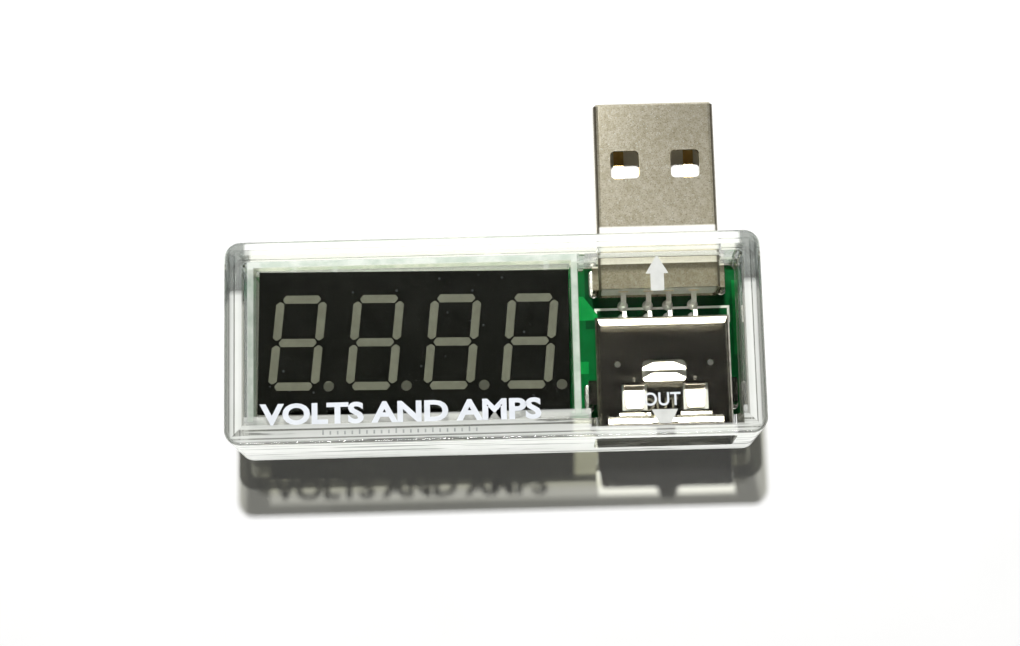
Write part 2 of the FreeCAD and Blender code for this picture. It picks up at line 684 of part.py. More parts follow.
def louvre():
    """The window between the springs and the two tilted bars in it, widest where they join the plate."""
    plate_z = SOCKET_Z + SOCKET_HEIGHT / 2 - SHEET / 2
    window = rounded_prism(
        CONNECTOR_X, (LOUVRE_REAR + LOUVRE_FRONT) / 2, LOUVRE_WIDTH, LOUVRE_REAR - LOUVRE_FRONT,
        plate_z - SHEET, plate_z + SHEET, LOUVRE_CORNER,
    )
    bars = []
    wide = LOUVRE_WIDTH / 2 + ROOT
    for rear, front, rear_width in BARS:
        narrow = rear_width / 2
        shoulder = front + BAR_SHOULDER
        outline = [(-wide, front), (wide, front), (wide, shoulder), (narrow, rear), (-narrow, rear),
                   (-wide, shoulder)]
        bar = polygon_prism([(CONNECTOR_X + x, y) for x, y in outline],
                            plate_z - BAR_THICKNESS / 2, plate_z + BAR_THICKNESS / 2)
        bar.rotate(FreeCAD.Vector(CONNECTOR_X, front, plate_z), FreeCAD.Vector(1, 0, 0), -BAR_TILT)
        bars.append(bar)
    return window, bars


def rear_bevel(top):
    """The wedge cut off the top plate where it slopes down to the rear wall."""
    start = SOCKET_REAR - REAR_BEVEL_WIDTH
    drop = (REAR_BEVEL_WIDTH + 1) * math.tan(math.radians(REAR_BEVEL_ANGLE))
    left = CONNECTOR_X - SOCKET_WIDTH
    corners = [
        FreeCAD.Vector(left, start, top),
        FreeCAD.Vector(left, SOCKET_REAR + 1, top - drop),
        FreeCAD.Vector(left, SOCKET_REAR + 1, top + 1),
        FreeCAD.Vector(left, start, top + 1),
    ]
    face = Part.Face(Part.makePolygon(corners + corners[:1]))
    return face.extrude(FreeCAD.Vector(2 * SOCKET_WIDTH, 0, 0))


def socket_shell():
    outer = sleeve(CONNECTOR_X, SOCKET_Z, SOCKET_WIDTH, SOCKET_HEIGHT, SOCKET_FRONT, SOCKET_REAR,
                   SOCKET_CORNER)
    top = SOCKET_Z + SOCKET_HEIGHT / 2
    outer = outer.cut(rear_bevel(top))
    rear_rim = [
        e for e in outer.Edges
        if min(v.Y for v in e.Vertexes) > SOCKET_REAR - ROOT
        and min(v.Z for v in e.Vertexes) > top - 2 * ROOT
    ]
    outer = outer.makeFillet(SOCKET_REAR_ROUND, rear_rim)
    inner = sleeve(CONNECTOR_X, SOCKET_Z, SOCKET_WIDTH - 2 * SHEET, SOCKET_HEIGHT - 2 * SHEET,
                   SOCKET_FRONT - 1, SOCKET_REAR - SHEET, SOCKET_CORNER - SHEET)
    back_opening = box(CONNECTOR_X - SOCKET_WIDTH / 2 + SHEET, CONNECTOR_X + SOCKET_WIDTH / 2 - SHEET,
                       SOCKET_REAR - 2 * SHEET, SOCKET_REAR + 1, 0, SOCKET_BACK_LOW)
    plate_cuts = socket_plate_cuts()
    window, bars = louvre()
    lips = socket_lips()
    legs = side_legs(SOCKET_WIDTH, SOCKET_LEG_REACH, SOCKET_LEG_REAR - SOCKET_LEG_LENGTH,
                     SOCKET_LEG_LENGTH, SOCKET_LEG_TOP)
    pinholes = [
        post(CONNECTOR_X + side * PINHOLE_OFFSET, PINHOLE_Y, PINHOLE_RADIUS, top - 2 * SHEET, top + 1)
        for side in (-1, 1)
    ]
    low_cuts = [mirrored_about_socket(tool) for tool in plate_cuts]
    shell = cut_all(outer, [inner, back_opening, window] + plate_cuts + low_cuts + pinholes)
    low_lips = [mirrored_about_socket(lip) for lip in lips]
    legs = [leg.cut(inner) for leg in legs]
    embosses = [
        Part.makeSphere(
            EMBOSS_RADIUS,
            FreeCAD.Vector(CONNECTOR_X + side * SPRING_OFFSET, EMBOSS_Y, top - EMBOSS_RADIUS / 2),
        )
        for side in (-1, 1)
    ]
    return fuse_all([shell] + bars + lips + low_lips + legs + embosses)


def contact_springs():
    return [
        bent_strip(CONNECTOR_X + offset, CONTACT_WIDTH, CONTACT_THICKNESS, CONTACT_PATH)
        for offset in CONTACT_OFFSETS
    ]


def socket_tails():
    tails = []
    strip_z = CONTACT_PATH[0][1]
    half = SOCKET_TAIL_SIZE / 2
    for offset in CONTACT_OFFSETS:
        x = CONNECTOR_X + offset
        arm = box(x - half, x + half, TAIL_FRONT, SOCKET_TAIL_Y + half / 2,
                  strip_z - CONTACT_THICKNESS / 2, strip_z + CONTACT_THICKNESS / 2)
        leg = box(x - half, x + half, SOCKET_TAIL_Y - half / 2, SOCKET_TAIL_Y + half / 2,
                  TAIL_BOTTOM, strip_z + CONTACT_THICKNESS / 2)
        tails.append(fuse_all([arm, leg]))
    return tails


def socket_insulator():
    half = SOCKET_WIDTH / 2 - SHEET - BLOCK_GAP
    low = SOCKET_Z - SOCKET_HEIGHT / 2 + SHEET + BLOCK_GAP
    high = SOCKET_Z + SOCKET_HEIGHT / 2 - SHEET - BLOCK_GAP
    rear = SOCKET_REAR - SHEET - BLOCK_GAP
    block = sleeve(CONNECTOR_X, (low + high) / 2, 2 * half, high - low, BLOCK_FRONT, rear, BLOCK_ROUND)
    tongue = box(CONNECTOR_X - TONGUE_HALF_WIDTH, CONNECTOR_X + TONGUE_HALF_WIDTH, TONGUE_FRONT,
                 BLOCK_FRONT + ROOT, TONGUE_LOW, TONGUE_HIGH)
    nose = [
        e for e in tongue.Edges
        if max(v.Y for v in e.Vertexes) < TONGUE_FRONT + 0.01
        and abs(e.Vertexes[0].X - e.Vertexes[1].X) > 1
    ]
    tongue = tongue.makeChamfer(TONGUE_CHAMFER, nose)
    cuts = []
    for offset in CONTACT_OFFSETS:
        x = CONNECTOR_X + offset
        wide = GROOVE_WIDTH / 2
        cuts.append(box(x - wide, x + wide, POCKET_FRONT, BLOCK_FRONT, TONGUE_LOW - 1,
                        TONGUE_LOW + GROOVE_DEPTH))
        cuts.append(box(x - wide, x + wide, POCKET_FRONT, POCKET_REAR, TONGUE_LOW - 1,
                        TONGUE_LOW + POCKET_DEPTH))
        cuts.append(box(x - wide, x + wide, BLOCK_FRONT - GROOVE_DEPTH, BLOCK_FRONT + BLOCK_STEP,
                        TONGUE_LOW - TAIL_ROOM, TONGUE_LOW + GROOVE_DEPTH))
    return cut_all(fuse_all([block, tongue]), cuts + socket_tails())


def chip_body(centre, size):
    top = BOARD_BOTTOM - PAD_THICKNESS - CHIP_GAP
    body = centred_box(centre[0], centre[1], size[0], size[1], top - size[2], top)
    low_edges = [e for e in body.Edges if max(v.Z for v in e.Vertexes) < top - size[2] + 0.01]
    return body.makeChamfer(CHIP_CHAMFER, low_edges)


def gull_leads(places, chip_height):
    """Leads that leave the chip at mid-height and turn to lie on the board's pads."""
    pad_z = BOARD_BOTTOM - PAD_THICKNESS
    exit_z = pad_z - CHIP_GAP - chip_height / 2
    leads = []
    for x, y, side in places:
        path = [
            (y + side * LEAD_THICKNESS / 2, exit_z),
            (y + side * (LEAD_REACH - LEAD_FOOT), exit_z),
            (y + side * (LEAD_REACH - LEAD_FOOT + LEAD_LEAN), pad_z - LEAD_THICKNESS / 2),
            (y + side * LEAD_REACH, pad_z - LEAD_THICKNESS / 2),
        ]
        leads.append(bent_strip(x, LEAD_WIDTH, LEAD_THICKNESS, path))
    return leads


def end_cap_blocks(x, y, length, width, height, cap):
    top = BOARD_BOTTOM - PAD_THICKNESS
    return [
        centred_box(x + side * (length - cap) / 2, y, cap, width, top - height, top)
        for side in (-1, 1)
    ]


def block_between_caps(x, y, length, width, height, cap):
    top = BOARD_BOTTOM - PAD_THICKNESS
    return centred_box(x, y, length - 2 * cap, width - 2 * CAP_STEP, top - height + CAP_STEP,
                       top - CAP_STEP)


def solder_cone(x, y, base_z, pins):
    """A cone of solder hanging from a pad, round whatever pin passes through it."""
    cone = Part.makeCone(SOLDER_RADIUS, SOLDER_TIP, SOLDER_HEIGHT, FreeCAD.Vector(x, y, base_z),
                         FreeCAD.Vector(0, 0, -1))
    return cone.cut(Part.makeCompound(pins))


def solder_dome(x, y, base_z, pins):
    """A half ball of solder on the board's top face, round the tail that passes through it."""
    ball = Part.makeSphere(TOP_SOLDER_RADIUS, FreeCAD.Vector(x, y, base_z))
    lower = centred_box(x, y, 2, 2, base_z - 1, base_z)
    return ball.cut(lower).cut(Part.makeCompound(pins))


def leg_solder(shells):
    """Mounds of solder round the shell legs, on both faces of the board."""
    mounds = []
    for x, y, length in leg_places():
        for low, high in ((BOARD_TOP, BOARD_TOP + LEG_SOLDER_HEIGHT),
                          (BOARD_BOTTOM - LEG_SOLDER_HEIGHT, BOARD_BOTTOM)):
            mound = rounded_prism(x, y, LEG_SOLDER_WIDTH, length + LEG_SOLDER_WIDTH / 2, low, high,
                                  LEG_SOLDER_ROUND)
            outer_z = high if low == BOARD_TOP else low
            rim = [e for e in mound.Edges if all(abs(v.Z - outer_z) < 0.01 for v in e.Vertexes)]
            mounds.append(cut_all(mound.makeFillet(LEG_SOLDER_RIM, rim), shells).Solids)
    return [solid for group in mounds for solid in group]


os.makedirs("parts", exist_ok=True)
save("case_bottom", [case_bottom()])
save("case_top", [case_top()])
save("circuit_board", [circuit_board()])
save("board_pads", board_pads())

display = display_parts()
for node, solids in display.items():
    save(node, solids)

plug_sleeve = plug_shell()
save("plug_shell", [plug_sleeve])
plug_strips = plug_contacts()
save("plug_contacts", plug_strips)
save("plug_insulator", [plug_insulator()])

socket_sleeve = socket_shell()
save("socket_shell", [socket_sleeve])
save("leg_solder", leg_solder([plug_sleeve, socket_sleeve]))
save("socket_insulator", [socket_insulator()])
for index, spring in enumerate(contact_springs()):
    save("socket_contact_%d" % (index + 1), [spring])
tails = socket_tails()
save("socket_contact_tails", tails)
for node, spring in shell_springs().items():
    save(node, [spring])

save("controller_body", [chip_body(CONTROLLER_CENTRE, CONTROLLER_SIZE)])
save("controller_leads", gull_leads(controller_lead_places(), CONTROLLER_SIZE[2]))
save("regulator_body", [chip_body(REGULATOR_CENTRE, SMALL_CHIP_SIZE)])
save("regulator_leads", gull_leads(regulator_lead_places(), SMALL_CHIP_SIZE[2]))
save("amplifier_body", [chip_body(AMPLIFIER_CENTRE, SMALL_CHIP_SIZE)])
save("amplifier_leads", gull_leads(amplifier_lead_places(), SMALL_CHIP_SIZE[2]))

save("shunt_resistor", [block_between_caps(*SHUNT_CENTRE, *SHUNT_SIZE, SHUNT_CAP_LENGTH)])
save("chip_resistors", [
    block_between_caps(x, y, *SMALL_SIZE, RESISTOR_HEIGHT, CAP_LENGTH) for x, y in RESISTOR_PLACES
])
save("chip_capacitors", [
    block_between_caps(x, y, *SMALL_SIZE, CAPACITOR_HEIGHT, CAP_LENGTH) for x, y in CAPACITOR_PLACES
])
caps = end_cap_blocks(*SHUNT_CENTRE, *SHUNT_SIZE, SHUNT_CAP_LENGTH)
for place_x, place_y in RESISTOR_PLACES:
    caps += end_cap_blocks(place_x, place_y, *SMALL_SIZE, RESISTOR_HEIGHT, CAP_LENGTH)
for place_x, place_y in CAPACITOR_PLACES:
    caps += end_cap_blocks(place_x, place_y, *SMALL_SIZE, CAPACITOR_HEIGHT, CAP_LENGTH)
save("chip_end_caps", caps)

under_pads = BOARD_BOTTOM - PAD_THICKNESS
save("display_solder", [
    solder_cone(x, y, under_pads, display["display_pins"])
    for x, y in display_pin_places()
])
connector_solder = []
for place_x, place_y in plug_tail_places() + socket_tail_places():
    connector_solder.append(solder_cone(place_x, place_y, under_pads, plug_strips + tails))
    connector_solder.append(solder_dome(place_x, place_y, BOARD_TOP + PAD_THICKNESS, plug_strips + tails))
save("connector_solder", connector_solder)
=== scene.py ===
import json
import math

import bmesh
import bpy
from mathutils import Matrix, Vector


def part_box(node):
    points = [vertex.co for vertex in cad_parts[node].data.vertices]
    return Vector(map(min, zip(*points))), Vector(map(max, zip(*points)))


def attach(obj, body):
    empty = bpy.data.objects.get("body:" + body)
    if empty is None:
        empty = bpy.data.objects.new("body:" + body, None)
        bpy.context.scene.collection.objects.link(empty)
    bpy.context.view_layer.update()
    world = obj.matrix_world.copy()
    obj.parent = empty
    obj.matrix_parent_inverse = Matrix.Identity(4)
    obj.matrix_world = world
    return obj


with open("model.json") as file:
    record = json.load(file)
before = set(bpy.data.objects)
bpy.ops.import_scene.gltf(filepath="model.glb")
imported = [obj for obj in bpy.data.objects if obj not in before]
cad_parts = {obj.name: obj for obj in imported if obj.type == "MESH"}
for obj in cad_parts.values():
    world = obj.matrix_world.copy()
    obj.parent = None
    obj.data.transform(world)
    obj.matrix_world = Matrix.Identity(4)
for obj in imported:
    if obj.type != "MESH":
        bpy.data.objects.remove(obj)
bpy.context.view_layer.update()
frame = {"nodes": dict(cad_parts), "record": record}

MM = 0.001
BODY = "meter"

# ---------------------------------------------------------------- camera

# The place is in millimetres and the angles are in degrees.
CAMERA_PLACE = (2.8, -37.6, 210.6)
CAMERA_TILT = 11.06
CAMERA_YAW = 0.34
CAMERA_ROLL = 1.47
CAMERA_LENS = 74.05
SENSOR_WIDTH = 36
NEAREST_SEEN = 0.01


def add_camera():
    tilt, yaw, roll = (math.radians(a) for a in (CAMERA_TILT, CAMERA_YAW, CAMERA_ROLL))
    back = Vector((0, -math.sin(tilt), math.cos(tilt)))
    up = Vector((0, math.cos(tilt), math.sin(tilt)))
    right = Vector((1, 0, 0))
    side, back = (math.cos(yaw) * right - math.sin(yaw) * back,
                  math.cos(yaw) * back + math.sin(yaw) * right)
    right = math.cos(roll) * side - math.sin(roll) * up
    up = math.sin(roll) * side + math.cos(roll) * up
    data = bpy.data.cameras.new("camera")
    data.lens = CAMERA_LENS
    data.sensor_width = SENSOR_WIDTH
    data.clip_start = NEAREST_SEEN
    camera = bpy.data.objects.new("camera", data)
    place = Vector(CAMERA_PLACE) * MM
    camera.matrix_world = Matrix((
        (right.x, up.x, back.x, place.x),
        (right.y, up.y, back.y, place.y),
        (right.z, up.z, back.z, place.z),
        (0, 0, 0, 1),
    ))
    bpy.context.scene.collection.objects.link(camera)
    bpy.context.scene.camera = camera


# ---------------------------------------------------------------- materials

# Places are in metres. A profile is a list of (millimetres from an edge, value) stops.
WALL = 0.0019
EDGE_SOFTNESS = 0.0001
MIDDLE_BLEND = 0.001

RIB_START = 0.0002
RIB_END = 0.0008
RIB_LOW = 0.0082
RIB_NEAR_REACH = 0.0004
RIB_BLEND = 0.0002
RIB_MILK = 0.5
FAR_RIB_MILK = 0.85

END_PROFILE = (
    (0.0, 0.1), (0.55, 0.15), (0.72, 0.6), (0.98, 0.65), (1.03, 0.1), (1.09, 0.1), (1.14, 0.75),
    (1.72, 0.65), (1.8, 0.2), (1.88, 0.2), (1.94, 0.0),
)
BACK_PROFILE = (
    (0.0, 0.5), (0.12, 0.9), (0.9, 0.95), (0.93, 0.1), (0.99, 0.1), (1.03, 0.95), (1.35, 0.9),
    (1.45, 0.3), (1.6, 0.0),
)
FRONT_PROFILE = (
    (0.0, 0.85), (0.45, 0.75), (0.5, 0.2), (0.58, 0.2), (0.66, 0.62), (1.25, 0.55), (1.32, 0.1),
    (1.42, 0.1), (1.5, 0.6), (1.85, 0.5), (1.9, 0.25), (2.65, 0.36), (2.75, 0.0),
)
SOCKET_LID_EDGE = 0.0009
FRONT_FACE_Y = -0.0099
FRONT_FACE_BLEND = 0.0003
FRONT_FACE_MILK = 0.92
OTHER_FACE_MILK = 0.08
GLANCE = (0.4, 0.75)
LEVEL_SLOPE = (0.6, 0.97)
ROUNDED_SLOPE = (0.3, 0.5)
FLAT_SLOPE = (0.9, 0.995)
# Painted shade on the clear case's rounded edges: the most grey tint they take.
EDGE_SHADE = 0.85

# Least brightness, full brightness, and the two noise levels where they are reached.
BACK_STREAKS = (0.5, 1, 0.36, 0.42)
FRONT_STREAKS = (0.3, 1, 0.42, 0.47)
SHEEN_STREAKS = (0.45, 1, 0.4, 0.45)

# Painted shade at the back of both end walls: where it starts, its soft edges, and how much milk is left
# there.
SHADED_END = 0.0046
SHADED_BLEND_ACROSS = 0.0003
SHADED_BLEND_ALONG = 0.0006
SHADED_MILK = 0.2

FLAT_PASS = 0.94
RIM_PASS = 0.36
FRONT_FACE_PASS = 0.36
WALL_PASS = 0.9
PASS_SLOPE = (0.2, 0.8)
END_RIM = 0.0033
TOP_RIM_Y = -0.0087
TOP_RIM_Z = 0.0116
UNDER_RIM_Y = -0.0094
RIM_BLEND = 0.0002

# Painted shade on the board between the connectors: the width of its soft edge and how much of the dark
# colour it takes.
BOARD_SHADE_FADE = 0.0007
BOARD_SHADE_SHARE = 0.7

TIN_REAR = 0.002
TIN_FRONT = 0.0051
TIN_BLEND = 0.0002

PLUG_BASE = 0.0125
PLUG_TIP = 0.0235
TIP_SHADE = 0.36
# Painted shade under the case lid and a painted reflection beside the case, as stops along the plug from
# TIN_FRONT.
PLUG_SHADE = ((0.0, 0.35), (1.5, 0.35), (2.0, 0.7), (2.38, 0.75), (2.42, 0.0))
PLUG_SHINE = (
    (2.4, 0.0), (2.45, 0.7), (3.1, 0.5), (3.3, 0.0), (4.8, 0.0), (4.9, 1.0), (6.22, 0.95), (6.4, 0.0),
)
# Painted shade on the plug's sloping sides, and the slopes that pick out its top faces.
SIDE_SHADE = 0.85
SIDE_SLOPE = (0.4, 0.55)
UPRIGHT_SLOPE = (0.93, 0.98)
UPWARD_SLOPE = (0.7, 0.95)

DIGIT_PITCH = 0.0075
DOT_START = 0.69
DOT_BLEND = 0.01
DOT_TOP = 0.0012
SMOOTH_SOLDER_NODE = "leg_solder"


class Nodes:
    """A short way to write a node material."""

    def __init__(self, name):
        self.material = bpy.data.materials.new(name)
        self.material.use_nodes = True
        self.tree = self.material.node_tree
        self.shader = self.tree.nodes["Principled BSDF"]
        self.output = self.tree.nodes["Material Output"]
        self.place = self.add("ShaderNodeTexCoord").outputs["Object"]

    def add(self, kind, **settings):
        node = self.tree.nodes.new(kind)
        for key, value in settings.items():
            setattr(node, key, value)
        return node

    def link(self, source, target):
        self.tree.links.new(source, target)

    def set(self, **values):
        for key, value in values.items():
            self.shader.inputs[key.replace("_", " ")].default_value = value

    def scaled(self, x, y, z):
        """Object coordinates multiplied by a factor along each axis."""
        node = self.add("ShaderNodeMapping")
        node.inputs["Scale"].default_value = (x, y, z)
        self.link(self.place, node.inputs["Vector"])
        return node.outputs["Vector"]

    def noise(self, scale, detail=4.0, roughness=0.55, vector=None):
        node = self.add("ShaderNodeTexNoise")
        node.inputs["Scale"].default_value = scale
        node.inputs["Detail"].default_value = detail
        node.inputs["Roughness"].default_value = roughness
        self.link(vector or self.place, node.inputs["Vector"])
        return node.outputs["Fac"]

    def spots(self, scale):
        node = self.add("ShaderNodeTexVoronoi")
        node.inputs["Scale"].default_value = scale
        self.link(self.place, node.inputs["Vector"])
        return node.outputs["Distance"]

    def ramp(self, factor, low, high, start=0.3, stop=0.7):
        node = self.add("ShaderNodeValToRGB")
        node.color_ramp.elements[0].position = start
        node.color_ramp.elements[1].position = stop
        node.color_ramp.elements[0].color = (*low, 1)
        node.color_ramp.elements[1].color = (*high, 1)
        self.link(factor, node.inputs["Fac"])
        return node.outputs["Color"]

    def range(self, factor, low, high, start=0.3, stop=0.7):
        """A number that goes from low to high while the factor goes from start to stop."""
        node = self.add("ShaderNodeMapRange")
        for key, value in (("From Min", start), ("From Max", stop), ("To Min", low), ("To Max", high)):
            node.inputs[key].default_value = value
        self.link(factor, node.inputs["Value"])
        return node.outputs["Result"]

    def mix(self, factor, first, second):
        """A colour part way between two others."""
        node = self.add("ShaderNodeMix", data_type="RGBA")
        self.link(factor, node.inputs["Factor"])
        for socket, value in (("A", first), ("B", second)):
            target = [i for i in node.inputs if i.name == socket and i.type == "RGBA"][0]
            if isinstance(value, tuple):
                target.default_value = (*value, 1)
            else:
                self.link(value, target)
        return [o for o in node.outputs if o.type == "RGBA"][0]

    def colour(self, socket):
        self.link(socket, self.shader.inputs["Base Color"])

    def rough(self, socket):
        self.link(socket, self.shader.inputs["Roughness"])

    def bump(self, height, strength, distance):
        node = self.add("ShaderNodeBump")
        node.inputs["Strength"].default_value = strength
        node.inputs["Distance"].default_value = distance
        self.link(height, node.inputs["Height"])
        self.link(node.outputs["Normal"], self.shader.inputs["Normal"])

    def blend(self, factor, first, second):
        """A number part way between two others."""
        node = self.add("ShaderNodeMix", data_type="FLOAT")
        for socket, value in zip((node.inputs[0], node.inputs[2], node.inputs[3]), (factor, first, second)):
            self.link(value, socket)
        return node.outputs[0]

    def profile(self, distance, stops):
        """A number read off a list of (millimetres, value) stops."""
        node = self.add("ShaderNodeValToRGB")
        reach = stops[-1][0]
        elements = node.color_ramp.elements
        while len(elements) < len(stops):
            elements.new(0.5)
        for element, (at, value) in zip(elements, stops):
            element.position = at / reach
            element.color = (value, value, value, 1)
        self.link(self.range(distance, 0, 1, 0, reach * MM), node.inputs["Fac"])
        return node.outputs["Color"]

    def math(self, operation, first, second=None):
        node = self.add("ShaderNodeMath", operation=operation)
        for socket, value in zip(node.inputs, (first, second)):
            if isinstance(value, (int, float)):
                socket.default_value = value
            elif value is not None:
                self.link(value, socket)
        return node.outputs["Value"]

    def axis(self, name, vector=None):
        """One coordinate of the place on the object, or of another vector."""
        split = self.add("ShaderNodeSeparateXYZ")
        self.link(vector or self.place, split.inputs["Vector"])
        return split.outputs[name]

    def up(self):
        """How far the surface faces up or down, 0 to 1."""
        return self.math("ABSOLUTE", self.axis("Z", self.add("ShaderNodeNewGeometry").outputs["Normal"]))


def above(m, value, edge, blend=EDGE_SOFTNESS):
    """0 below the edge and 1 above it, with a narrow soft change."""
    return m.range(value, 0, 1, edge, edge + blend)


def below(m, value, edge, blend=EDGE_SOFTNESS):
    """1 below the edge and 0 above it, with a narrow soft change."""
    return m.range(value, 1, 0, edge, edge + blend)


def rib_zone(m, x, y, z):
    """1 in the ribs that stand left, right and far of the display, 0 elsewhere."""
    low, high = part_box("display_face")
    left_side = m.math("MULTIPLY", x, -1)
    beside = m.math("MAXIMUM", above(m, x, high.x + RIB_START), above(m, left_side, RIB_START - low.x))
    zone = m.math("MAXIMUM", beside, above(m, y, high.y + RIB_START))
    for place, limit in ((x, high.x), (left_side, -low.x), (y, high.y)):
        zone = m.math("MULTIPLY", zone, below(m, place, limit + RIB_END))
    zone = m.math("MULTIPLY", zone, above(m, y, low.y - RIB_NEAR_REACH))
    return m.math("MULTIPLY", zone, above(m, z, RIB_LOW))


def shaded_end(m, y, from_end):
    """1 in the back part of both end walls, where painted shade gives the plastic a grey tint and less milk.
    """
    at_end = below(m, from_end, WALL, SHADED_BLEND_ACROSS)
    return m.math("MULTIPLY", at_end, above(m, y, SHADED_END, SHADED_BLEND_ALONG))


def rim_milk(m, x, y, z, from_end, from_side, up):
    """How pale the clear plastic looks where light is carried along inside its thick rim."""
    streaks = m.noise(1100, 4, 0.6, m.scaled(0.05, 1.0, 1.0))
    ends = m.profile(from_end, END_PROFILE)
    back = m.math("MULTIPLY", m.profile(from_side, BACK_PROFILE), m.range(streaks, *BACK_STREAKS))
    front = m.math("MULTIPLY", m.profile(from_side, FRONT_PROFILE), m.range(streaks, *FRONT_STREAKS))
    low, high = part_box("socket_shell")
    over_socket = m.math("MULTIPLY", above(m, x, low.x), below(m, x, high.x))
    lid_edge = below(m, from_side, SOCKET_LID_EDGE)
    front = m.math("MULTIPLY", front, m.math("MAXIMUM", m.math("SUBTRACT", 1, over_socket), lid_edge))
    along = m.blend(m.range(y, 1, 0, -MIDDLE_BLEND, MIDDLE_BLEND), back, front)
    is_end = m.math("LESS_THAN", from_end, from_side)
    rim = m.blend(m.math("MULTIPLY", is_end, below(m, from_end, WALL)), along, ends)
    rim = m.math("MULTIPLY", rim, m.range(shaded_end(m, y, from_end), 1, SHADED_MILK, 0, 1))

    face_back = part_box("display_face")[1].y
    rib_level = m.range(y, RIB_MILK, FAR_RIB_MILK, face_back, face_back + RIB_BLEND)
    level = m.math("MAXIMUM", rim, m.math("MULTIPLY", rib_zone(m, x, y, z), rib_level))

    front_face = below(m, y, FRONT_FACE_Y, FRONT_FACE_BLEND)
    glancing = m.range(m.add("ShaderNodeLayerWeight").outputs["Facing"], 0, 1, *GLANCE)
    sheen = m.math("MULTIPLY", m.math("MULTIPLY", front_face, glancing), m.range(streaks, *SHEEN_STREAKS))
    upright = m.range(sheen, OTHER_FACE_MILK, FRONT_FACE_MILK, 0, 1)
    return m.blend(m.range(up, 0, 1, *LEVEL_SLOPE), upright, level)


def shadow_pass(m, y, z, from_end, up):
    """How much of the lamp goes straight through: less at the front wall and through the thick rim."""
    top_rim = m.math("MULTIPLY", below(m, y, TOP_RIM_Y, RIM_BLEND), above(m, z, TOP_RIM_Z))
    front_rim = m.math("MAXIMUM", below(m, y, UNDER_RIM_Y, RIM_BLEND), top_rim)
    in_rim = m.math("MAXIMUM", front_rim, below(m, from_end, END_RIM - RIM_BLEND, RIM_BLEND))
    flat = m.range(in_rim, FLAT_PASS, RIM_PASS, 0, 1)
    wall = m.range(y, FRONT_FACE_PASS, WALL_PASS, FRONT_FACE_Y, FRONT_FACE_Y + FRONT_FACE_BLEND)
    return m.blend(m.range(up, 0, 1, *PASS_SLOPE), wall, flat)


def clear_plastic():
    """Clear moulded plastic with a paler rim, and painted shade as a grey tint on its rounded edges and at
    the back of its end walls.
    """
    m = Nodes("clear_case_mat")
    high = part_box("case_top")[1]
    x, y, z, up = m.axis("X"), m.axis("Y"), m.axis("Z"), m.up()
    from_end = m.math("SUBTRACT", high.x, m.math("ABSOLUTE", x))
    from_side = m.math("SUBTRACT", high.y, m.math("ABSOLUTE", y))

    m.set(Transmission_Weight=1.0, IOR=1.49)
    clear = m.ramp(m.noise(180), (0.985, 0.997, 0.99), (0.995, 1.0, 0.997))
    # Painted shade: a grey tint on the rounded edges and at the back of the end walls.
    rounded = m.math("MULTIPLY", m.range(up, 0, EDGE_SHADE, *ROUNDED_SLOPE), m.range(up, 1, 0, *FLAT_SLOPE))
    m.colour(m.mix(m.math("MAXIMUM", rounded, shaded_end(m, y, from_end)), clear, (0.5, 0.54, 0.55)))
    m.rough(m.range(m.noise(420, 6), 0.0, 0.02, 0.45, 0.75))
    m.bump(m.noise(300, 5), 0.03, 0.00005)

    milky = m.add("ShaderNodeBsdfDiffuse")
    white = m.ramp(m.noise(260, 5), (0.88, 0.91, 0.86), (0.97, 0.98, 0.95))
    pale = m.ramp(m.noise(500, 4, 0.6), (0.56, 0.64, 0.56), (0.76, 0.8, 0.74), 0.4, 0.6)
    m.link(m.mix(rib_zone(m, x, y, z), white, pale), milky.inputs["Color"])
    body = m.add("ShaderNodeMixShader")
    m.link(rim_milk(m, x, y, z, from_end, from_side, up), body.inputs["Fac"])
    m.link(m.shader.outputs["BSDF"], body.inputs[1])
    m.link(milky.outputs["BSDF"], body.inputs[2])

    through = m.add("ShaderNodeBsdfTransparent")
    tint = m.ramp(shadow_pass(m, y, z, from_end, up), (0, 0, 0), (1, 1, 0.94), 0, 1)
    m.link(tint, through.inputs["Color"])
    path = m.add("ShaderNodeLightPath")
    either = m.math("MAXIMUM", path.outputs["Is Shadow Ray"], path.outputs["Is Diffuse Ray"])
    mix = m.add("ShaderNodeMixShader")
    m.link(either, mix.inputs["Fac"])
    m.link(body.outputs["Shader"], mix.inputs[1])
    m.link(through.outputs["BSDF"], mix.inputs[2])
    m.link(mix.outputs["Shader"], m.output.inputs["Surface"])
    return m.material


def board_green():
    """Glossy green solder mask, with painted shade between the connectors, and bare laminate at the cut
    edges.
    """
    m = Nodes("board_green_mat")
    mask = m.ramp(m.noise(700, 4), (0.0015, 0.1, 0.022), (0.003, 0.135, 0.032))
    low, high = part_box("socket_shell")
    x, y = m.axis("X"), m.axis("Y")
    # Painted shade: the board between the two connectors is darkened to stand in for the shadow that falls
    # there.
    beside = m.math("MULTIPLY", above(m, x, low.x), below(m, x, high.x - BOARD_SHADE_FADE, BOARD_SHADE_FADE))
    between = m.math("MULTIPLY", above(m, y, high.y), beside)
    mask = m.mix(m.math("MULTIPLY", between, BOARD_SHADE_SHARE), mask, (0.001, 0.02, 0.008))
    edge = m.ramp(m.noise(2500), (0.16, 0.15, 0.05), (0.24, 0.22, 0.09))
    m.colour(m.mix(m.range(m.up(), 0, 1, 0.4, 0.6), edge, mask))
    m.rough(m.range(m.noise(1500), 0.07, 0.1))
    m.bump(m.noise(900, 3), 0.04, 0.000005)
    return m.material


